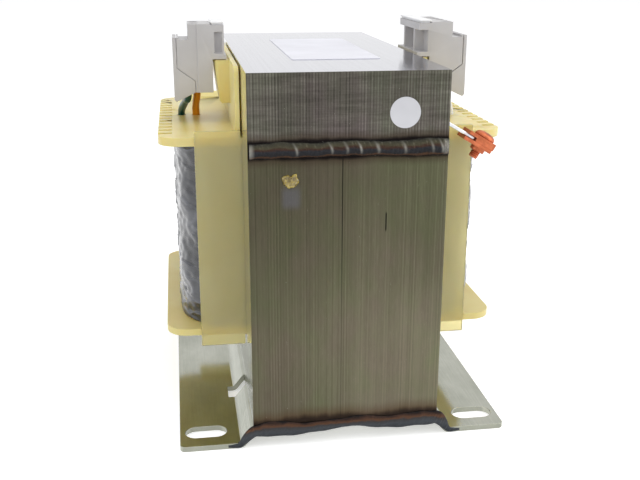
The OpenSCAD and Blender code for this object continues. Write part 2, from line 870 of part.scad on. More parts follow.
module earth_nut_plate() {
  collar_h = 1.4;
  color([0.7, 0.4, 0.26])
    at_strap()
      difference() {
        union() {
          translate([clamp_start - 0.8, -clamp_w / 2, -jaw_t]) cube([clamp_l + 0.4, clamp_w, jaw_t]);
          translate([screw_at, 0, -jaw_t - collar_h]) cylinder(d = screw_d + 1.8, h = collar_h + eps);
        }
        translate([screw_at, 0, -jaw_t - collar_h - cut])
          cylinder(d = screw_d + 0.04, h = jaw_t + collar_h + 2 * cut);
      }
}

module earth_screw() {
  under = strap_t + jaw_t;
  dome_r = (head_d * head_d / 4 + head_h * head_h) / (2 * head_h);
  shank = 7.8;
  slot = 1.1;
  color([0.75, 0.44, 0.28])
    at_strap() translate([screw_at, 0, 0])
      difference() {
        union() {
          translate([0, 0, under - shank]) cylinder(d = screw_d, h = shank + eps);
          intersection() {
            translate([0, 0, under]) cylinder(d = head_d, h = head_h);
            translate([0, 0, under + head_h - dome_r]) sphere(dome_r);
          }
        }
        translate([-head_d, -slot / 2, under + head_h / 2]) cube([2 * head_d, slot, head_h]);
      }
}

// ---------- labels ----------

module top_label() {
  corner_r = 1.5;
  color([0.93, 0.93, 0.95])
    translate([label_shift, 0, core_top]) rounded_plate(label_w, label_l, label_t, corner_r);
}

module round_sticker() {
  color([0.78, 0.78, 0.8])
    translate([sticker_x, -core_y, sticker_z]) rotate([90, 0, 0]) cylinder(d = sticker_d, h = label_t);
}

e_core();
i_yoke();
yoke_weld(-1);  // yoke_weld_front
yoke_weld(1);  // yoke_weld_back
base_weld(-1);  // base_weld_front
base_weld(1);  // base_weld_back
base_plate();
coil_former();
window_liner(-1);  // window_liner_front
window_liner(1);  // window_liner_back
primary_winding();
winding_insulation();
secondary_winding();
outer_wrap();
terminal_body(-1, first_module(-1));  // left_terminal_body_1
terminal_body(1, 0);  // right_terminal_body_1
terminal_body(1, 1);  // right_terminal_body_2
terminal_cover(-1, first_module(-1));  // left_terminal_cover_1
terminal_cover(1, 0);  // right_terminal_cover_1
terminal_cover(1, 1);  // right_terminal_cover_2
clamp_cage(-1, 2);  // left_clamp_cage_1
clamp_cage(-1, 3);  // left_clamp_cage_2
clamp_cage(1, 0);  // right_clamp_cage_1
clamp_cage(1, 1);  // right_clamp_cage_2
clamp_cage(1, 2);  // right_clamp_cage_3
clamp_cage(1, 3);  // right_clamp_cage_4
clamp_screws(-1);  // left_clamp_screws
clamp_screws(1);  // right_clamp_screws
end_plate(-1);  // left_end_plate
marker_strip(-1);  // left_marker_strip
marker_strip(1);  // right_marker_strip
lead(-1, 3, green_u, green_foot, [0.05, 0.3, 0.27]);  // green_lead
lead(-1, 2, orange_u, orange_foot, [0.85, 0.5, 0.1]);  // orange_lead
lead(1, 0, white_u, white_foot, [0.93, 0.93, 0.93]);  // front_white_lead
lead(1, 2, white_u, rear_white_foot, [0.93, 0.93, 0.93]);  // rear_white_lead
earth_strap();
earth_clamp();
earth_nut_plate();
earth_screw();
top_label();
round_sticker();
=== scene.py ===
"""Looks of a laminated chassis transformer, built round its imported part. Metres, Z up, feet on Z = 0."""

import math

import bmesh
import bpy
import numpy as np
from mathutils import Matrix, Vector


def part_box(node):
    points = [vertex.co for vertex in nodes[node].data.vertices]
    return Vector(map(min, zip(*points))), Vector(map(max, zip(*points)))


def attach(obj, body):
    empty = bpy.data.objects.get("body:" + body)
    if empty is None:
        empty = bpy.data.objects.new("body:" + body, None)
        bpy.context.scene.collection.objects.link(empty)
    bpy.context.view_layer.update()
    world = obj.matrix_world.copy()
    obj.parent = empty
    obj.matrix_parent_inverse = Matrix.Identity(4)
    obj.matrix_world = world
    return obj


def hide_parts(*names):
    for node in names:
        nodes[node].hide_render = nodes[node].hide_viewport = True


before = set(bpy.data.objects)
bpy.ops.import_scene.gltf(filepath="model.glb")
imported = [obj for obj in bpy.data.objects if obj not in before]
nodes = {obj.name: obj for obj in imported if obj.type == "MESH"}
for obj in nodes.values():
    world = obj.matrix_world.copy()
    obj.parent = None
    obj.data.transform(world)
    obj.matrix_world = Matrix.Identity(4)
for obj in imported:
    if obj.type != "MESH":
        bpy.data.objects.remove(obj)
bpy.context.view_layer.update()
MM = 0.001


def span(node):
    """Lowest and highest corner of a CAD node in millimetres, as two arrays."""
    low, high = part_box(node)
    return np.array(low) / MM, np.array(high) / MM


CORE_LOW, CORE_HIGH = span("e_core")
YOKE_LOW = span("i_yoke")[0]
STACK_X, FACE_Y = CORE_HIGH[0], CORE_HIGH[1]
CORE_Z, JOINT_Z = CORE_LOW[2], YOKE_LOW[2]
SHEET_T = 0.5


# ---------- camera, lamps and floor ----------


def camera():
    """A level eye in front of the core, turned 8.8 degrees to the right and tipped 17.5 degrees down."""
    yaw, pitch, roll = (math.radians(a) for a in (8.843, 17.516, 0.138))
    ahead = np.array([math.sin(yaw) * math.cos(pitch), math.cos(yaw) * math.cos(pitch), -math.sin(pitch)])
    right = np.array([math.cos(yaw), -math.sin(yaw), 0.0])
    up = np.cross(right, ahead)
    across = math.cos(roll) * right + math.sin(roll) * up
    upward = np.cross(across, ahead)
    data = bpy.data.cameras.new("camera")
    data.lens, data.sensor_width = 51.0, 36.0
    data.clip_start, data.clip_end = 0.01, 20
    eye = bpy.data.objects.new("camera", data)
    bpy.context.scene.collection.objects.link(eye)
    columns = [across, upward, -ahead, np.array([-54.4, -361.95, 168.2]) * MM]
    eye.matrix_world = Matrix([[*(float(c[i]) for c in columns)] for i in range(3)] + [[0, 0, 0, 1]])
    bpy.context.scene.camera = eye


def lamp(name, place, aim, size, watts):
    """A square white area lamp at a place, facing an aim point."""
    data = bpy.data.lights.new(name, "AREA")
    data.shape, data.size, data.energy = "SQUARE", size, watts
    box = bpy.data.objects.new(name, data)
    bpy.context.scene.collection.objects.link(box)
    back = np.array(place, float) - np.array(aim, float)
    back /= np.linalg.norm(back)
    side = np.cross([0, 0, 1.0], back)
    side = side / np.linalg.norm(side) if np.linalg.norm(side) > 1e-6 else np.array([1.0, 0, 0])
    rise = np.cross(back, side)
    columns = [side, rise, back, np.array(place, float)]
    box.matrix_world = Matrix([[*(float(c[i]) for c in columns)] for i in range(3)] + [[0, 0, 0, 1]])


def studio():
    """Soft lamps above and beside the part, a white room for what reflects, and a pale floor."""
    aim = (0, 0, 0.08)
    lamp("lamp_top", (0.1, 0.0, 1.1), aim, 1.0, 4.4)
    lamp("lamp_left", (-1.0, -0.7, 0.6), aim, 0.8, 3.4)
    lamp("lamp_right", (1.0, -0.4, 0.6), aim, 0.8, 5.6)
    world = bpy.data.worlds.new("room")
    bpy.context.scene.world = world
    world.use_nodes = True
    tree = world.node_tree
    tree.nodes.clear()
    out = tree.nodes.new("ShaderNodeOutputWorld")
    seen = tree.nodes.new("ShaderNodeBackground")
    lit = tree.nodes.new("ShaderNodeBackground")
    mix = tree.nodes.new("ShaderNodeMixShader")
    seen.inputs["Color"].default_value = (1, 1, 1, 1)
    seen.inputs["Strength"].default_value = 1.0
    lit.inputs["Color"].default_value = (0.97, 0.98, 1.0, 1)
    lit.inputs["Strength"].default_value = 0.58
    path = tree.nodes.new("ShaderNodeLightPath")
    either = tree.nodes.new("ShaderNodeMath")
    either.operation, either.use_clamp = "ADD", True
    both = tree.nodes.new("ShaderNodeMath")
    both.operation, both.use_clamp = "ADD", True
    tree.links.new(path.outputs["Is Camera Ray"], either.inputs[0])
    tree.links.new(path.outputs["Is Glossy Ray"], either.inputs[1])
    tree.links.new(either.outputs[0], both.inputs[0])
    tree.links.new(path.outputs["Is Transmission Ray"], both.inputs[1])
    tree.links.new(both.outputs[0], mix.inputs[0])
    tree.links.new(lit.outputs[0], mix.inputs[1])
    tree.links.new(seen.outputs[0], mix.inputs[2])
    tree.links.new(mix.outputs[0], out.inputs["Surface"])

    reach = np.linspace(-9, 9, 3)
    floor = surface("floor", np.stack(np.meshgrid(reach, reach), -1), flat=True)
    paint = Finish("floor_paint", Roughness=0.9)
    paint.shader.inputs["Base Color"].default_value = (0.95, 0.95, 0.95, 1)
    paint.shader.inputs["Emission Color"].default_value = (1, 1, 1, 1)
    rays = paint.add("LightPath").outputs
    mirrored = paint.sum("ADD", rays["Is Glossy Ray"], rays["Is Transmission Ray"])
    watched = paint.sum("ADD", rays["Is Camera Ray"], mirrored)
    paint.set(Emission_Strength=paint.sum("MULTIPLY", watched, 0.42))
    floor.data.materials.append(paint.material)


# ---------- surfaces ----------


def surface(name, grid, around=False, ends=False, flat=False, shades=None):
    """A mesh from a grid of points: rows along the first index and columns along the second.

    around closes each row into a ring, and ends closes the first and last ring with a fan
    about its middle. Grids are in millimetres, except a flat one, which is in metres on Z = 0.
    shades are face-corner layers by name: one value for each grid point.
    """
    rows, cols = grid.shape[:2]
    if flat:
        points = np.concatenate([grid.reshape(-1, 2), np.zeros((rows * cols, 1))], 1)
    else:
        points = grid.reshape(-1, 3) * MM
    index = np.arange(rows * cols).reshape(rows, cols)
    if around:
        index = np.concatenate([index, index[:, :1]], 1)
    quads = np.stack([index[:-1, :-1], index[:-1, 1:], index[1:, 1:], index[1:, :-1]], -1).reshape(-1, 4)
    loops, starts, totals = [quads.reshape(-1)], np.arange(len(quads)) * 4, np.full(len(quads), 4)
    if ends:
        first, last = len(points), len(points) + 1
        points = np.concatenate([points, points[:cols].mean(0)[None], points[-cols:].mean(0)[None]])
        low = np.stack([np.full(cols, first), index[0, 1:], index[0, :-1]], -1)
        high = np.stack([np.full(cols, last), index[-1, :-1], index[-1, 1:]], -1)
        fans = np.concatenate([low, high])
        starts = np.concatenate([starts, len(quads) * 4 + np.arange(len(fans)) * 3])
        totals = np.concatenate([totals, np.full(len(fans), 3)])
        loops.append(fans.reshape(-1))
    loops = np.concatenate(loops)
    mesh = bpy.data.meshes.new(name)
    mesh.vertices.add(len(points))
    mesh.vertices.foreach_set("co", points.astype(np.float32).reshape(-1))
    mesh.loops.add(len(loops))
    mesh.loops.foreach_set("vertex_index", loops.astype(np.int32))
    mesh.polygons.add(len(starts))
    mesh.polygons.foreach_set("loop_start", starts.astype(np.int32))
    mesh.polygons.foreach_set("loop_total", totals.astype(np.int32))
    mesh.polygons.foreach_set("use_smooth", np.ones(len(starts), bool))
    mesh.update(calc_edges=True)
    mesh.validate()
    for layer, values in (shades or {}).items():
        flat_values = np.concatenate([values.reshape(-1), np.zeros(len(points) - rows * cols)])
        mesh.attributes.new(layer, "FLOAT", "POINT").data.foreach_set("value", flat_values.astype(np.float32))
    piece = bpy.data.objects.new(name, mesh)
    bpy.context.scene.collection.objects.link(piece)
    return piece


# ---------- finishes ----------


class Finish:
    """A material's nodes, with short calls that add one and join it to the rest."""

    def __init__(self, name, **constants):
        self.material = bpy.data.materials.new(name)
        self.material.use_nodes = True
        self.tree = self.material.node_tree
        self.shader = self.tree.nodes["Principled BSDF"]
        for socket, value in constants.items():
            self.shader.inputs[socket.replace("_", " ")].default_value = value

    def join(self, source, target):
        """Sets a socket to a number or colour, or links it to another node's output."""
        if isinstance(source, (int, float, tuple)):
            target.default_value = source
        else:
            self.tree.links.new(source, target)

    def add(self, kind, *sources, **settings):
        """A node of a kind, with its settings, and its sockets filled in order."""
        node = self.tree.nodes.new("ShaderNode" + kind)
        for key, value in settings.items():
            setattr(node, key, value)
        for socket, source in zip(node.inputs, sources):
            if source is not None:
                self.join(source, socket)
        return node

    def place(self, scale=(1, 1, 1), shift=(0, 0, 0), turn=(0, 0, 0)):
        """Object coordinates in millimetres, scaled, turned and moved."""
        where = self.add("TexCoord").outputs["Object"]
        grown = self.add("Mapping", where)
        grown.inputs["Scale"].default_value = (1000, 1000, 1000)
        moved = self.add("Mapping", grown.outputs[0])
        moved.inputs["Location"].default_value = shift
        moved.inputs["Rotation"].default_value = turn
        moved.inputs["Scale"].default_value = scale
        return moved.outputs[0]

    def axes(self, vector=None):
        """X, Y and Z of a vector, or of the place in millimetres."""
        return self.add("SeparateXYZ", vector or self.place()).outputs

    def facing(self):
        """X, Y and Z of the surface's own direction, without sign."""
        split = self.add("SeparateXYZ", self.add("TexCoord").outputs["Normal"])
        return [self.sum("ABSOLUTE", o) for o in split.outputs]

    def noise(self, vector, detail=3.0, rough=0.5, warp=0.0):
        """Soft chance values of one wave per unit of the vector."""
        node = self.add("TexNoise", vector)
        node.inputs["Scale"].default_value = 1.0
        node.inputs["Detail"].default_value = detail
        node.inputs["Roughness"].default_value = rough
        node.inputs["Distortion"].default_value = warp
        return node.outputs["Fac"]

    def sum(self, operation, a, b=0.0, c=0.0):
        """The result of one sum on two or three values."""
        return self.add("Math", a, b, c, operation=operation).outputs[0]

    def band(self, value, low, high, start=0.0, end=1.0):
        """value between low and high becomes start to end, smoothly."""
        node = self.add("MapRange", value, low, high, start, end, interpolation_type="SMOOTHSTEP")
        return node.outputs[0]

    def stops(self, value, *stops, kind="LINEAR"):
        """A colour ramp from (place, colour) pairs, colours as they show on a screen."""
        node = self.add("ValToRGB", value)
        node.color_ramp.interpolation = kind
        spots = node.color_ramp.elements
        while len(spots) < len(stops):
            spots.new(0.5)
        for spot, (place, tone) in zip(spots, stops):
            spot.position, spot.color = place, linear(tone)
        return node.outputs[0]

    def blend(self, share, a, b, kind="MIX"):
        node = self.add("Mix", data_type="RGBA", blend_type=kind)
        node.clamp_factor = True
        for socket, source in ((0, share), (6, a), (7, b)):
            self.join(linear(source) if isinstance(source, tuple) else source, node.inputs[socket])
        return node.outputs[2]

    def relief(self, height, depth, strength=1.0):
        """Bump of a depth in millimetres."""
        node = self.add("Bump")
        node.inputs["Strength"].default_value = strength
        node.inputs["Distance"].default_value = depth * MM
        self.join(height, node.inputs["Height"])
        return node.outputs[0]

    def set(self, **sources):
        """Fills the shader's own sockets, named with _ in place of a space."""
        for socket, source in sources.items():
            self.join(source, self.shader.inputs[socket.replace("_", " ")])
        return self


def linear(tone):
    """A screen colour of 0 to 255 as the renderer's own."""
    share = [v / 255 for v in tone[:3]]
    return tuple(v / 12.92 if v < 0.04045 else ((v + 0.055) / 1.055) ** 2.4 for v in share) + (1.0,)


def dress(names, finish):
    """Gives CAD nodes or pieces a finish."""
    for name in [names] if isinstance(names, str) else names:
        piece = nodes.get(name) or bpy.data.objects[name]
        piece.data.materials.clear()
        piece.data.materials.append(finish.material)


# ---------- steel ----------


def sway(f, chance, share, level):
    """level + share * (chance - 0.5)."""
    return f.sum("MULTIPLY_ADD", f.sum("SUBTRACT", chance, 0.5), share, level)


def near(f, value, middle, half, soft):
    """1 within half of middle, falling to 0 over soft."""
    return f.band(f.sum("ABSOLUTE", f.sum("SUBTRACT", value, middle)), half, half + soft, 1.0, 0.0)


def sheet_shade(f, x):
    """One chance value for each sheet of the stack, and 0 or 1 for every other sheet."""
    index = f.sum("FLOOR", f.sum("DIVIDE", f.sum("ADD", x, STACK_X + 0.06), SHEET_T))
    chance = f.add("TexWhiteNoise", None, index, noise_dimensions="1D").outputs["Value"]
    return chance, f.sum("FLOORED_MODULO", index, 2.0)


def pack_steel(name, ends, tones, spread, pairs, over_seam):
    """Sheet edges on the ends, fine lines on the top, and a smooth bright sheet on each side.

    ends is the roughness of the sheet edges, tones are their dark, middle and light colours,
    spread is how far sheets differ by chance, and pairs how far every other sheet stands out.
    over_seam is 1 for the pack above the weld and -1 for the one below it, and sets the side
    from which the heat tint fades.
    """
    f = Finish(name, Metallic=1.0)
    x, _, z = f.axes()
    side, end, top = f.facing()
    streaks = f.noise(f.place(scale=(2.3, 0.4, 0.035)), detail=4, rough=0.65)
    cloud = f.noise(f.place(scale=(0.03, 0.03, 0.02)), detail=2)
    burr = f.noise(f.place(scale=(2.0, 0.3, 0.9 if over_seam > 0 else 0.25)), detail=2, rough=0.7)
    sheet, other = sheet_shade(f, x)
    level = sway(f, sheet, spread, 0.5)
    level = sway(f, other, pairs, level)
    level = sway(f, streaks, spread * 1.6, level)
    level = sway(f, cloud, 0.4, level)
    level = sway(f, burr, spread * 1.4, level)
    if over_seam > 0:
        # press marks that run across the yoke's sheets
        marks = f.noise(f.place(scale=(0.07, 0.1, 0.75)), detail=3, rough=0.65)
        level = sway(f, marks, 0.55, level)
    else:
        # painted light: the face is painted paler lower down and towards the right, as it is lit
        level = f.sum("ADD", level, f.band(z, 25, 95, 0.16, -0.14))
        level = f.sum("MULTIPLY_ADD", x, 0.0035, level)
    edges = f.stops(level, *zip((0.05, 0.5, 0.95), tones))
    hue = f.noise(f.place(scale=(0.06, 0.06, 0.04), shift=(7, 3, 1)), detail=3, rough=0.6)
    tints = f.stops(hue, (0.35, (255, 244, 246)), (0.65, (244, 250, 232)))
    edges = f.blend(1.0, edges, tints, kind="MULTIPLY")

    # heat tint by the seam weld, and above the base weld; the darkest strip right beside the seam bead is
    # partly heat tint and partly painted shade where the bead meets the face
    wave = f.noise(f.place(scale=(0.11, 0.1, 0.0)), detail=3, rough=0.6)
    rise = f.sum("MULTIPLY", f.sum("SUBTRACT", z, JOINT_Z), float(over_seam))
    rise = sway(f, wave, 2.2, rise)
    haze = f.band(rise, 3.0, 6.5, 0.75, 0.0)
    edges = f.blend(haze, edges, (62, 52, 42))
    edges = f.blend(f.band(rise, 2.6, 4.0, 0.95, 0.0), edges, (20, 17, 18))
    if over_seam < 0:
        foot = sway(f, wave, 5.0, f.sum("SUBTRACT", z, CORE_Z))
        edges = f.blend(f.band(foot, 2.0, 8.0, 0.7, 0.0), edges, (78, 56, 40))
        edges = f.blend(f.band(foot, 1.6, 4.2, 0.85, 0.0), edges, (34, 27, 26))
        # the stack's wider gap left of the middle, a scratch, and a smear below the varnish drop
        slit = f.sum("MULTIPLY", near(f, x, -2.2, 0.12, 0.12), f.band(z, 40, 95, 0.35, 0.9))
        edges = f.blend(slit, edges, (24, 23, 20))
        scratch = f.sum("MULTIPLY", near(f, x, 12.8, 0.1, 0.25), near(f, z, 82.0, 2.6, 1.2))
        edges = f.blend(scratch, edges, (26, 26, 24))
        smear = f.sum("MULTIPLY", near(f, x, -19.4, 1.6, 2.6), near(f, z, 91.4, 1.6, 3.4))
        edges = f.blend(f.sum("MULTIPLY", smear, 0.55), edges, (92, 92, 98))
    spots = f.add("TexVoronoi", f.place(scale=(0.16, 0.16, 0.16)))
    lucky = f.sum("GREATER_THAN", f.add("SeparateColor", spots.outputs["Color"]).outputs[0], 0.86)
    speck = f.sum("MULTIPLY", lucky, f.band(spots.outputs["Distance"], 0.03, 0.06, 0.8, 0.0))
    edges = f.blend(speck, edges, (205, 205, 190))

    ruled = f.noise(f.place(scale=(2.6, 0.012, 0.3)), detail=3, rough=0.6)
    crown = f.stops(ruled, (0.25, (180, 181, 190)), (0.75, (201, 202, 211)))
    rolled = f.noise(f.place(scale=(0.5, 0.05, 1.2)), detail=3)
    smooth = f.stops(rolled, (0.2, (196, 197, 198)), (0.8, (222, 222, 222)))
    tone = f.blend(f.band(top, 0.5, 0.7), edges, crown)
    tone = f.blend(f.band(side, 0.9, 0.97), tone, smooth)
    side_rough = 0.11
    rough = f.sum("MULTIPLY_ADD", f.band(end, 0.5, 0.7), ends - side_rough, side_rough)
    rough = sway(f, streaks, 0.12, rough)
    f.set(Base_Color=tone, Roughness=rough, Normal=f.relief(streaks, 0.03, 0.6))
    return f


def weld_finish(name, stops):
    """Colours across a bead, from its lower edge at 0 to its upper edge at 1, wandering along it: oxide, and
    on the seam bead also painted shade and a painted reflection.
    """
    f = Finish(name, Metallic=0.85)
    across = f.add("Attribute", attribute_name="across").outputs["Fac"]
    bright = f.add("Attribute", attribute_name="bright").outputs["Fac"]
    wander = f.noise(f.place(scale=(0.16, 0.16, 0.4)), detail=4, rough=0.6)
    fine = f.noise(f.place(scale=(1.3, 1.3, 1.8)), detail=4, rough=0.65)
    level = sway(f, wander, 0.42, across)
    level = sway(f, fine, 0.12, level)
    crust = f.stops(level, *stops)
    # pale marks: real drips, and at the seam bead's ends a painted highlight
    tone = f.blend(bright, crust, (150, 148, 140))
    rough = f.sum("MULTIPLY_ADD", fine, 0.35, 0.2)
    f.set(Base_Color=tone, Roughness=rough, Normal=f.relief(fine, 0.12, 0.7))
    return f


def zinc():
    """Bright zinc with soft clouds and faint rolling lines, duller at the sheared edges."""
    f = Finish("zinc", Metallic=1.0)
    cloud = f.noise(f.place(scale=(0.05, 0.03, 0.05)), detail=4, rough=0.6)
    lines = f.noise(f.place(scale=(1.6, 0.05, 1.0)), detail=3, rough=0.6)
    level = sway(f, lines, 0.35, cloud)
    tone = f.stops(level, (0.25, (150, 153, 140)), (0.5, (169, 171, 159)), (0.75, (184, 185, 174)))
    dim = f.noise(f.place(scale=(0.9, 0.9, 0.9)), detail=2)
    end = f.facing()[1]
    tone = f.blend(f.band(end, 0.7, 0.9, 0.0, 0.5), tone, (120, 122, 110))
    rough = sway(f, cloud, 0.08, 0.1)
    f.set(Base_Color=tone, Roughness=rough, Normal=f.relief(dim, 0.02, 0.5))
    return f


# ---------- mouldings, tape and sleeves ----------


def nylon(name, tone, deep, through, rough):
    """A pale moulding that light passes through: through is the share that does."""
    f = Finish(name, Transmission_Weight=through, IOR=1.45, Subsurface_Weight=0.35, Subsurface_Scale=0.004)
    f.shader.inputs["Subsurface Radius"].default_value = (1.0, 0.75, 0.25)
    flow = f.noise(f.place(scale=(0.05, 0.05, 0.03)), detail=3, warp=0.6)
    grain = f.noise(f.place(scale=(1.4, 1.4, 1.4)), detail=3)
    colour = f.stops(flow, (0.3, deep), (0.7, tone))
    f.set(Base_Color=colour, Roughness=f.sum("MULTIPLY_ADD", grain, 0.12, rough),
          Normal=f.relief(grain, 0.03, 0.35))
    return f


def tape():
    """Glossy dark tape: slate where it lies flat, with a painted sheen that makes its ridges and lap edges
    paler, and dull smears of varnish.
    """
    f = Finish("coil_tape", Coat_Weight=0.5, Coat_Roughness=0.12, Specular_IOR_Level=0.6)
    ridge = f.add("Attribute", attribute_name="ridge").outputs["Fac"]
    smear = f.noise(f.place(scale=(0.09, 0.09, 0.2), turn=(0.5, 0.3, 0.0)), detail=4, rough=0.6, warp=0.5)
    # painted sheen: the colour is paler where the ridge layer is high
    level = sway(f, smear, 0.9, ridge)
    colour = f.stops(level, (0.1, (26, 27, 31)), (0.5, (44, 46, 52)), (0.9, (78, 80, 87)))
    fine = f.noise(f.place(scale=(0.35, 0.35, 1.6), turn=(0.25, 0.2, 0.0)), detail=4)
    rough = f.sum("MULTIPLY_ADD", smear, 0.3, 0.14)
    f.set(Base_Color=colour, Roughness=rough, Normal=f.relief(fine, 0.12, 0.6))
    return f


def moulded(name, tone, rough, grain=0.02):
    """Opaque moulded plastic with a fine grain and slightly uneven gloss."""
    f = Finish(name)
    fine = f.noise(f.place(scale=(2.5, 2.5, 2.5)), detail=3)
    cloud = f.noise(f.place(scale=(0.07, 0.07, 0.07)), detail=3)
    low = tuple(max(0, v - 7) for v in tone)
    high = tuple(min(255, v + 5) for v in tone)
    f.set(Base_Color=f.stops(cloud, (0.3, low), (0.7, high)),
          Roughness=f.sum("MULTIPLY_ADD", cloud, 0.12, rough), Normal=f.relief(fine, grain, 0.5))
    return f


def plated(name, low, high, rough):
    """Plated or bare metal with tarnish that gathers in clouds."""
    f = Finish(name, Metallic=1.0)
    cloud = f.noise(f.place(scale=(0.35, 0.35, 0.35)), detail=5, rough=0.65)
    fine = f.noise(f.place(scale=(3.0, 3.0, 3.0)), detail=3)
    f.set(Base_Color=f.stops(cloud, (0.3, low), (0.7, high)),
          Roughness=f.sum("MULTIPLY_ADD", cloud, 0.25, rough), Normal=f.relief(fine, 0.03, 0.5))
    return f


# ---------- made pieces ----------


def refined(name, width=0.25, angle=30, steps=2):
    """A CAD node's own shape with its faces joined up and its edges broken by width millimetres."""
    piece = bpy.data.objects.new(name + "_refined", nodes[name].data.copy())
    bpy.context.scene.collection.objects.link(piece)
    shape = bmesh.new()
    shape.from_mesh(piece.data)
    bmesh.ops.remove_doubles(shape, verts=shape.verts, dist=2e-6)
    bmesh.ops.dissolve_limit(shape, angle_limit=math.radians(0.6), verts=shape.verts, edges=shape.edges)
    shape.to_mesh(piece.data)
    shape.free()
    piece.data.polygons.foreach_set("use_smooth", np.ones(len(piece.data.polygons), bool))
    piece.data.set_sharp_from_angle(angle=math.radians(angle))
    if width > 0:
        cut = piece.modifiers.new("edge", "BEVEL")
        cut.width, cut.segments, cut.limit_method = width * MM, steps, "ANGLE"
        cut.angle_limit = math.radians(angle)
        cut.harden_normals = True
        cut.miter_outer = "MITER_ARC"
    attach(piece, "root")
    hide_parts(name)
    return piece


def ripples(x, y, waves, seed):
    """A smooth chance field: a sum of sines in directions and phases that follow from the seed."""
    rng = np.random.default_rng(seed)
    total = np.zeros(np.broadcast(x, y).shape)
    for length, height in waves:
        for _ in range(4):
            turn, phase = rng.uniform(0, 2 * math.pi, 2)
            k = 2 * math.pi / (length * rng.uniform(0.75, 1.35))
            total = total + height / 2 * np.sin(k * (x * math.cos(turn) + y * math.sin(turn)) + phase)
    return total


# share of a bead's ring that runs down its front; the rest goes back up inside the steel
FRONT_SHARE = 0.8


def seam_bead(name, face, seed):
    """Bead on the joint: half rounds across, with crescent ripples that bend back along it.

    Stand-out = body * (1 - |t|^2.6)^0.6 + ripple * sin(pitch * (x + bend * t^2)), t across from -1 to 1.
    """
    low, high = span(name)
    along = np.linspace(low[0] + 0.2, high[0] + 0.5, 420)[:, None]
    turn = np.linspace(0, 1, 46)[None, :]
    back = turn >= FRONT_SHARE
    t = np.where(back, -1 + (turn - FRONT_SHARE) * 10, 1 - 2.5 * turn)
    top = 2.55 + ripples(along, 0, [(17, 0.25), (5, 0.12)], seed)
    foot = -2.75 + ripples(along, 0, [(23, 0.3), (6, 0.1)], seed + 1)
    z = JOINT_Z + (top + foot) / 2 + t * (top - foot) / 2
    taper = np.clip((high[0] - np.abs(along)) / 1.2, 0.25, 1)
    body = (0.85 + ripples(along, 0, [(14, 0.14), (4, 0.07)], seed + 2)) * taper
    pitch = 1.5
    bent = along + 1.5 * t**2 + ripples(along, 0, [(9, 0.5)], seed + 3)
    crescents = 0.055 * np.sin(2 * math.pi / pitch * bent)
    crescents = crescents * (1 - np.abs(t) ** 3)
    crust = ripples(along, z, [(1.1, 0.05), (2.6, 0.06)], seed + 4)
    dome = body * np.maximum(1 - np.abs(t) ** 2.6, 0) ** 0.6
    out = np.maximum(dome + (crescents + crust) * (1 - np.abs(t) ** 6), 0)
    out = np.where(back, -0.05, out)
    grid = np.stack([along + 0 * t, face * (FACE_Y + out), z + 0 * along], -1)
    drips = np.zeros_like(along * t)
    rng = np.random.default_rng(seed + 9)
    for spot in (-18.2, -6.6, -1.5, 3.1, 8.9, 18.0, 27.4, 30.6):
        lean = (along - spot - 1.3 * (1 - t) * 0.5 + 0.8 * t**2) / rng.uniform(0.35, 0.6)
        mark = np.exp(-lean**2) * np.clip(0.9 - np.abs(t - 0.1), 0, 1)
        drips = np.maximum(drips, mark * rng.uniform(0.5, 0.95))
    # painted highlight: the bead's ends are painted paler, partly bare metal and partly a painted highlight
    # where they catch the light
    ends = np.clip((np.abs(along) - high[0] + 2.0) / 1.6, 0, 1) * (1 - t**2)
    shades = {"across": (t + 1) / 2 + 0 * along, "bright": np.clip(drips + 0.7 * ends, 0, 1)}
    bead = surface(name + "_bead", grid, around=True, ends=True, shades=shades)
    merge(bead)
    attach(bead, "root")
    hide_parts(name)
    return bead


def smooth_path(points, steps):
    """A Catmull-Rom curve through points, with steps pieces between each two."""
    p = np.array(points, float)
    p = np.concatenate([p[:1], p, p[-1:]])
    t = np.linspace(0, 1, steps, endpoint=False)[:, None]
    runs = []
    for a, b, c, d in zip(p[:-3], p[1:-2], p[2:-1], p[3:]):
        square, cube = 2 * a - 5 * b + 4 * c - d, 3 * b - a - 3 * c + d
        runs.append(0.5 * (2 * b + (c - a) * t + square * t**2 + cube * t**3))
    return np.concatenate(runs + [p[-2:-1]])


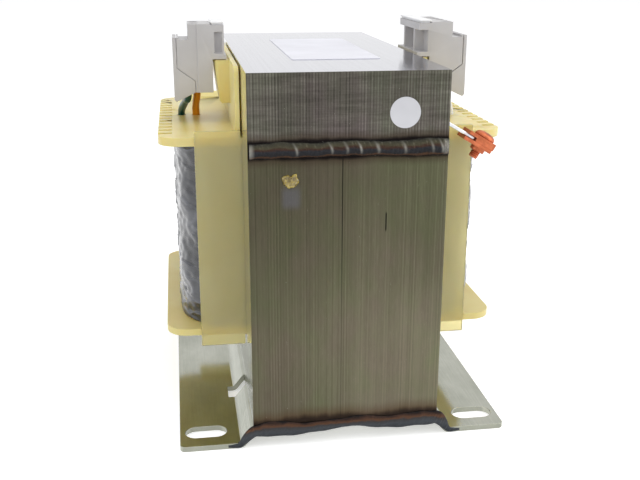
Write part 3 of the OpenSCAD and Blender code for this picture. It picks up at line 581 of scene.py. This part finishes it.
def base_bead(name, face, seed):
    """Crust along the core's lower edge, down each bend and out on the edges of the feet.

    A path in X and Z, with a half width above and below it, and a rounded stand-out from the face.
    """
    bend = [(35.7, 4.3), (38.1, 1.5), (40.0, 1.0), (42.5, 1.0)]
    level = [(x, 6.7) for x in (-31, -20, -10, 0, 10, 20, 31)]
    path = smooth_path([(-x, z) for x, z in bend[::-1]] + [(-33.3, 6.4)] + level + [(33.3, 6.4)] + bend, 24)
    step = np.gradient(path, axis=0)
    step /= np.linalg.norm(step, axis=1)[:, None]
    up_way = np.stack([-step[:, 1], step[:, 0]], 1)
    x = path[:, :1]
    outer = np.clip((np.abs(x) - 33.5) / 4, 0, 1)
    tail = np.clip((np.abs(x) - 37) / 5, 0, 1)
    above = (2.5 + ripples(x, 0, [(21, 0.5), (6, 0.2)], seed)) * (1 - outer) + 1.25 * outer - 0.75 * tail
    sag = -1.3 * np.exp(-((x - 2) / 9.5) ** 2)
    sag = sag + 0.6 * np.exp(-((x + 24) / 9) ** 2)
    sag = sag + 0.7 * np.exp(-((x - 21) / 8) ** 2)
    below = (2.5 + sag + ripples(x, 0, [(9, 0.25)], seed + 1)) * (1 - outer) + 1.3 * outer - 0.8 * tail
    turn = np.linspace(0, 1, 46)[None, :]
    back = turn >= FRONT_SHARE
    t = np.where(back, -1 + (turn - FRONT_SHARE) * 10, 1 - 2.5 * turn)
    reach = np.where(t > 0, t * above, t * below)
    xs = x + reach * up_way[:, :1]
    zs = np.maximum(path[:, 1:] + reach * up_way[:, 1:], 0.05)
    body = 1.05 + ripples(x, 0, [(15, 0.2), (4, 0.08)], seed + 2)
    body = body * (1 - 0.45 * outer) * (1 - 0.6 * tail)
    crust = ripples(xs, zs, [(1.3, 0.07), (3.5, 0.1)], seed + 4)
    out = np.maximum(body * np.maximum(1 - np.abs(t) ** 2.4, 0) ** 0.55 + crust * (1 - np.abs(t) ** 4), 0)
    out = np.where(back, -0.05, out)
    grid = np.stack([xs, face * (FACE_Y + out), zs], -1)
    shades = {"across": np.clip((t + 1) / 2 * (1 - 0.75 * outer), 0, 1), "bright": np.zeros_like(xs)}
    bead = surface(name + "_bead", grid, around=True, ends=True, shades=shades)
    merge(bead)
    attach(bead, "root")
    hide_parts(name)
    return bead


def coil_wrap():
    """The taped coil: an oval ring whose outside carries tape laps and creases.

    Outside = oval + lap * smooth saw of (height + lean along the girth) + creases along slanted lines.
    The ring's section runs up the outside, over the top, down the inside and back.
    """
    low, high = span("outer_wrap")
    build, wall = high[1] - 27.0, 0.9
    tube_x, tube_y, crown = 35.5, 27.0, high[0] - 35.5 - build
    a = np.linspace(0, math.pi / 2, 40)
    flat = np.stack([np.linspace(0, tube_x, 36, endpoint=False), np.full(36, tube_y + build)], 1)
    bend = np.stack([tube_x + build * np.sin(a), tube_y + build * np.cos(a)], 1)
    open_side = np.stack([np.full(24, tube_x + build), np.linspace(tube_y, 0, 25)[1:]], 1)
    quarter = np.concatenate([flat, bend, open_side])
    bulge = np.maximum(0, np.cos(math.pi / 2 * quarter[:, 1] / (tube_y + build)))
    quarter[:, 0] += crown * bulge * (quarter[:, 0] > tube_x)
    half = np.concatenate([quarter, (quarter * [1, -1])[::-1][1:]])
    plan = np.concatenate([half, (half * [-1, 1])[::-1][1:-1]])
    ahead = np.roll(plan, -1, 0) - np.roll(plan, 1, 0)
    outward = np.stack([-ahead[:, 1], ahead[:, 0]], 1)
    outward /= np.linalg.norm(outward, axis=1)[:, None]
    outward *= np.sign((outward * plan).sum(1))[:, None]
    girth = np.concatenate([[0], np.cumsum(np.linalg.norm(np.diff(plan, axis=0), axis=1))])[None, :]
    z = np.linspace(low[2], high[2], 190)[:, None]
    round_angle = 2 * math.pi * girth / girth[0, -1]
    lean = 5.5 * np.sin(round_angle + 0.8) + 2.2 * np.sin(2 * round_angle + 2)
    lap = (z + lean + ripples(girth, z, [(40, 1.6), (14, 0.7)], 5)) / 7.4
    saw = lap - np.floor(lap)
    step = 0.42 * np.minimum(saw / 0.86, (1 - saw) / 0.14) * (0.6 + 0.4 * np.sin(np.floor(lap) * 2.3))
    slant = (z * 0.8 + girth * 0.62 + ripples(girth, z, [(22, 3.5), (8, 1.2)], 6)) / 8.5
    crease = np.exp(-(((slant - np.floor(slant)) - 0.5) / 0.07) ** 2)
    patch = np.clip(0.5 + ripples(girth, z, [(30, 1.1)], 7), 0, 1)
    fold = 0.55 * crease * patch
    puff = ripples(girth, z, [(26, 0.45), (11, 0.22), (4.5, 0.1)], 8)
    edge = np.clip(np.minimum(z - low[2], high[2] - z) / 3, 0, 1)
    lift = (step + fold + puff - 0.35) * (0.25 + 0.75 * edge)
    lift = np.minimum(lift, 0.55)
    # painted sheen: raised laps, creases and lap edges get a high value, which the tape paints paler
    ridge = np.clip(0.35 + 0.45 * lift + 0.5 * crease * patch + 0.3 * (saw > 0.86), 0, 1)
    outside = plan[None] + outward[None] * lift[..., None]
    inside = np.repeat((plan - outward * wall)[None], 3, 0)
    wall_z = np.linspace(high[2], low[2], 3)[:, None]
    rows = np.concatenate([
        np.concatenate([outside, z[..., None] + 0 * outside[..., :1]], -1),
        np.concatenate([inside, wall_z[..., None] + 0 * inside[..., :1]], -1),
    ])
    shade = np.concatenate([ridge, np.zeros((3, plan.shape[0]))])
    grid = np.concatenate([rows, rows[:1]]).transpose(1, 0, 2)[:, :-1]
    closed = np.concatenate([grid, grid[:1]])
    shade = np.concatenate([shade.T, shade.T[:1]])
    wrap = surface("coil_wrap", closed, around=True, shades={"ridge": shade})
    merge(wrap)
    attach(wrap, "root")
    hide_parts("outer_wrap")
    return wrap


def merge(piece):
    """Joins points that lie on each other, and turns every face outwards."""
    shape = bmesh.new()
    shape.from_mesh(piece.data)
    bmesh.ops.remove_doubles(shape, verts=shape.verts, dist=2e-6)
    bmesh.ops.recalc_face_normals(shape, faces=shape.faces)
    shape.to_mesh(piece.data)
    shape.free()
    piece.data.update()


def sleeve(name, points, width, stand_in, seed):
    """A round sleeve along a smooth path, with a slight sway and a soft bulge here and there."""
    path = smooth_path(points, 14)
    path[:, 0] += ripples(path[:, 2], 0, [(9, 0.12)], seed)
    ahead = np.gradient(path, axis=0)
    ahead /= np.linalg.norm(ahead, axis=1)[:, None]
    side = np.cross([0.0, 1.0, 0.0], ahead)
    side /= np.linalg.norm(side, axis=1)[:, None]
    rise = np.cross(ahead, side)
    a = np.linspace(0, 2 * math.pi, 24, endpoint=False)[None, :, None]
    r = width / 2 * (1 + ripples(path[:, 2], 0, [(5, 0.03)], seed + 1))[:, None, None]
    ring = r * (np.cos(a) * side[:, None] + np.sin(a) * rise[:, None])
    tube = surface(name, path[:, None] + ring, around=True, ends=True)
    merge(tube)
    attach(tube, "root")
    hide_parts(stand_in)
    return tube


def screw(name, stand_in):
    """The earth screw on its own axis: a slotted dome, a collar and a rolled thread.

    The thread is a radius that follows a rounded saw of height and turn. The slot is a
    lower floor for points near the head's middle line.
    """
    pitch, core_r, thread_r, shank_l = 0.7, 1.42, 1.75, 7.8
    a = np.linspace(0, 2 * math.pi, 72, endpoint=False)[None, :]
    shank = np.linspace(-shank_l, 0.0, 150)[:, None]
    wave = (shank / pitch - a / (2 * math.pi)) % 1.0
    tip = np.clip((shank + shank_l) / 0.8, 0.2, 1)
    r_shank = core_r + (thread_r - core_r) * np.abs(2 * wave - 1) ** 0.8 * tip
    head_r, head_h = 3.8, 2.2
    rim = np.linspace(0, 1, 8)[:, None]
    under = np.concatenate([shank + 0 * a, 0.0 * rim + 0 * a])
    radius = np.concatenate([r_shank, thread_r + (head_r - 0.15 - thread_r) * rim + 0 * a])
    arc = np.linspace(0, math.pi / 2, 46)[:, None]
    dome_z = 0.35 + (head_h - 0.35) * np.sin(arc) + 0 * a
    dome_r = head_r * np.cos(arc) ** 0.85 + 0 * a
    x, y = dome_r * np.cos(a), dome_r * np.sin(a)
    floor_z = head_h - 1.15
    depth = 1 / (1 + np.exp((np.abs(y) - 0.55) / 0.06))
    dome_z = np.where(dome_z > floor_z, dome_z * (1 - depth) + floor_z * depth, dome_z)
    z = np.concatenate([under, dome_z])
    x = np.concatenate([radius * np.cos(a), x])
    y = np.concatenate([radius * np.sin(a), y])
    place = on_strip(np.stack([x + SCREW_AT, y, z + 2.5], -1))
    piece = surface(name, place, around=True, ends=True)
    merge(piece)
    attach(piece, "root")
    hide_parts(stand_in)
    return piece


STRIP_TILT, SCREW_AT = math.radians(30.5), 19.4


def on_strip(points):
    """Points given along, across and above the earth strip, in the part's own axes."""
    along, across, above = points[..., 0], points[..., 1], points[..., 2]
    x = STACK_X + along * math.cos(STRIP_TILT) + above * math.sin(STRIP_TILT)
    z = JOINT_Z + 6.4 - along * math.sin(STRIP_TILT) + above * math.cos(STRIP_TILT)
    return np.stack([x, across - (FACE_Y - 17.0), z], -1)


def varnish_drop():
    """A hardened drop on the face: a lobed disc with a thick wrinkled rim and a run to its upper right."""
    a = np.linspace(0, 2 * math.pi, 60, endpoint=False)[None, :]
    share = np.linspace(1, 0.02, 24)[:, None]
    lobes = 1 + 0.16 * np.cos(2 * a + 0.6) + 0.1 * np.cos(3 * a - 1.0) + 0.05 * np.cos(7 * a)
    run = 0.45 * np.exp(-(((a - 0.95 + math.pi) % (2 * math.pi) - math.pi) / 0.33) ** 2)
    r = 2.45 * share * (lobes + run * share)
    x, z = r * np.cos(a), r * np.sin(a)
    rim = 0.42 * np.exp(-((share - 0.8) / 0.13) ** 2) + 0.16 * (1 - share**4)
    wrinkle = 0.16 * np.exp(-((x - 0.55 + 0.25 * z) / 0.28) ** 2) * (share < 0.95)
    out = np.where(share > 0.97, -0.04, rim + wrinkle + ripples(x, z, [(1.6, 0.08)], 3))
    drop = surface("varnish_drop", np.stack([x - 19.7, -FACE_Y - out, z + 97.0], -1), around=True, ends=True)
    merge(drop)
    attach(drop, "root")
    return drop


STRIP_MIDDLE, STRIP_START, POLE_PITCH = -2.5, 16.25, 7.75
LEAD_WIDTH = 2.8
# height of the moulding's underside, and how it falls towards the nose
UNDERSIDE_Z, NOSE_FROM, NOSE_SLOPE = 118.0, 48.2, 0.479


def pole_y(side, pole):
    """Middle of a pole of a strip, counted from the front on the right and from the rear on the left."""
    return STRIP_MIDDLE + side * (POLE_PITCH * (pole + 0.5) - STRIP_START)


def lead(side, pole, reach, foot, name, stand_in, seed):
    """A lead down out of its terminal, over to its hole in the flange, and through it."""
    top_x, top_y = side * reach, pole_y(side, pole)
    top_z, flange = span(stand_in)[1][2], JOINT_Z - 0.4
    points = [
        (top_x, top_y, top_z), (top_x, top_y, UNDERSIDE_Z - NOSE_SLOPE * max(0, reach - NOSE_FROM)),
        (0.7 * top_x + 0.3 * foot[0], 0.65 * top_y + 0.35 * foot[1], flange + 7),
        (0.15 * top_x + 0.85 * foot[0], 0.15 * top_y + 0.85 * foot[1], flange + 3),
        (foot[0], foot[1], flange + 0.4), (foot[0], foot[1], flange - 3),
    ]
    return sleeve(name, points[::-1], LEAD_WIDTH, stand_in, seed)


# ---------- the whole part ----------


def dress_core():
    """The two sheet packs, their welds and the foot plate."""
    core_tones = ((66, 64, 52), (94, 92, 77), (124, 122, 104))
    yoke_tones = ((48, 46, 44), (92, 89, 85), (136, 133, 129))
    dress("e_core", pack_steel("core_steel", 0.42, core_tones, 0.13, 0.06, -1))
    dress("i_yoke", pack_steel("yoke_steel", 0.36, yoke_tones, 0.16, 0.16, 1))
    # seam bead stops: orange-brown heat tint, painted shade at both edges where the bead meets the face, a
    # darker blue-grey lower side, and an olive upper side painted lighter as a painted reflection of the
    # light above
    seam_stops = (
        (0.02, (20, 18, 18)), (0.12, (64, 44, 30)), (0.2, (32, 31, 32)), (0.45, (38, 39, 43)),
        (0.58, (58, 40, 32)), (0.7, (68, 64, 50)), (0.9, (58, 57, 48)), (1.0, (20, 18, 18)),
    )
    seam = weld_finish("seam_oxide", seam_stops)
    for name, face, seed in (("yoke_weld_front", -1, 11), ("yoke_weld_back", 1, 23)):
        dress(seam_bead(name, face, seed).name, seam)
    dress(refined("base_plate", 0.3).name, zinc())


def dress_former():
    """The coil former and the window liners."""
    cream = nylon("former_nylon", (244, 229, 160), (238, 217, 134), 0.16, 0.28)
    dress(refined("coil_former", 0.45).name, cream)
    liner = nylon("liner_sheet", (240, 230, 176), (234, 222, 158), 0.7, 0.3)
    for name in ("window_liner_front", "window_liner_back"):
        dress(refined(name, 0.3).name, liner)


def dress_mouldings():
    """The terminal mouldings, their front covers and the end plate."""
    grey = moulded("terminal_grey", (190, 188, 188), 0.38)
    for name in sorted(nodes):
        if "terminal_body" in name or "terminal_cover" in name or "end_plate" in name:
            dress(refined(name, 0.22).name, grey)


def dress_base_welds():
    """The crust along the core's lower edges."""
    base_stops = (
        (0.05, (48, 51, 55)), (0.35, (64, 67, 71)), (0.6, (58, 56, 56)),
        (0.74, (84, 58, 42)), (0.84, (70, 50, 40)), (1.0, (26, 23, 23)),
    )
    oxide = weld_finish("base_oxide", base_stops)
    for name, face, seed in (("base_weld_front", -1, 31), ("base_weld_back", 1, 47)):
        dress(base_bead(name, face, seed).name, oxide)


def dress_coil():
    """The wrap, and the windings under it."""
    dress(coil_wrap().name, tape())
    copper = plated("winding_copper", (150, 84, 44), (196, 122, 70), 0.3)
    dress(["primary_winding", "secondary_winding"], copper)
    dress("winding_insulation", moulded("winding_paper", (220, 206, 160), 0.7))


def dress_clamps():
    """The screw-down cages, their screws and the marker strips."""
    steel = plated("clamp_steel", (176, 174, 166), (214, 212, 204), 0.22)
    for name in sorted(nodes):
        if "clamp_cage" in name:
            dress(refined(name, 0.12).name, steel)
    for name in ("left_clamp_screws", "right_clamp_screws"):
        dress(refined(name, 0.1).name, steel)
    white = moulded("marker_white", (240, 240, 240), 0.42)
    for name in ("left_marker_strip", "right_marker_strip"):
        dress(refined(name, 0.2).name, white)


def dress_leads():
    """The four winding leads, each with its pole, its reach and its hole in the flange."""
    green = lead(-1, 3, 51.2, (-53.7, 1.8), "green_sleeve", "green_lead", 51)
    dress(green.name, moulded("sleeve_green", (14, 74, 70), 0.25))
    orange = lead(-1, 2, 47.5, (-48.0, 1.2), "orange_sleeve", "orange_lead", 53)
    dress(orange.name, moulded("sleeve_orange", (232, 150, 28), 0.25))
    white = moulded("sleeve_white", (238, 238, 236), 0.25)
    dress(lead(1, 0, 49.0, (52.6, -12.0), "white_sleeve_front", "front_white_lead", 57).name, white)
    dress(lead(1, 2, 49.0, (52.6, 3.5), "white_sleeve_rear", "rear_white_lead", 59).name, white)


def dress_earth_terminal():
    """The tinned strip and the bronze clamp on it."""
    tinned = plated("tinned_copper", (196, 198, 202), (228, 229, 232), 0.18)
    dress(refined("earth_strap", 0.3).name, tinned)
    bronze = plated("clamp_bronze", (150, 78, 52), (206, 120, 84), 0.3)
    for name in ("earth_clamp", "earth_nut_plate"):
        dress(refined(name, 0.4, steps=3).name, bronze)
    dress(screw("earth_screw_turned", "earth_screw").name, bronze)


def dress_labels():
    """The bare label and sticker, and the varnish drop on the face."""
    film = moulded("label_film", (222, 222, 230), 0.32, 0.005)
    dress(refined("top_label", 0.06).name, film)
    dress(refined("round_sticker", 0.06).name, moulded("sticker_film", (206, 206, 210), 0.4, 0.005))
    amber = Finish("varnish", Roughness=0.12, Coat_Weight=0.6, Transmission_Weight=0.25, IOR=1.5)
    depth = amber.noise(amber.place(scale=(0.7, 0.7, 0.7)), detail=3)
    amber.set(Base_Color=amber.stops(depth, (0.35, (112, 92, 20)), (0.65, (196, 172, 70))))
    dress(varnish_drop().name, amber)


bpy.context.scene.view_settings.view_transform = "Standard"
camera()
studio()
dress_core()
dress_former()
dress_mouldings()
dress_base_welds()
dress_coil()
dress_clamps()
dress_leads()
dress_earth_terminal()
dress_labels()
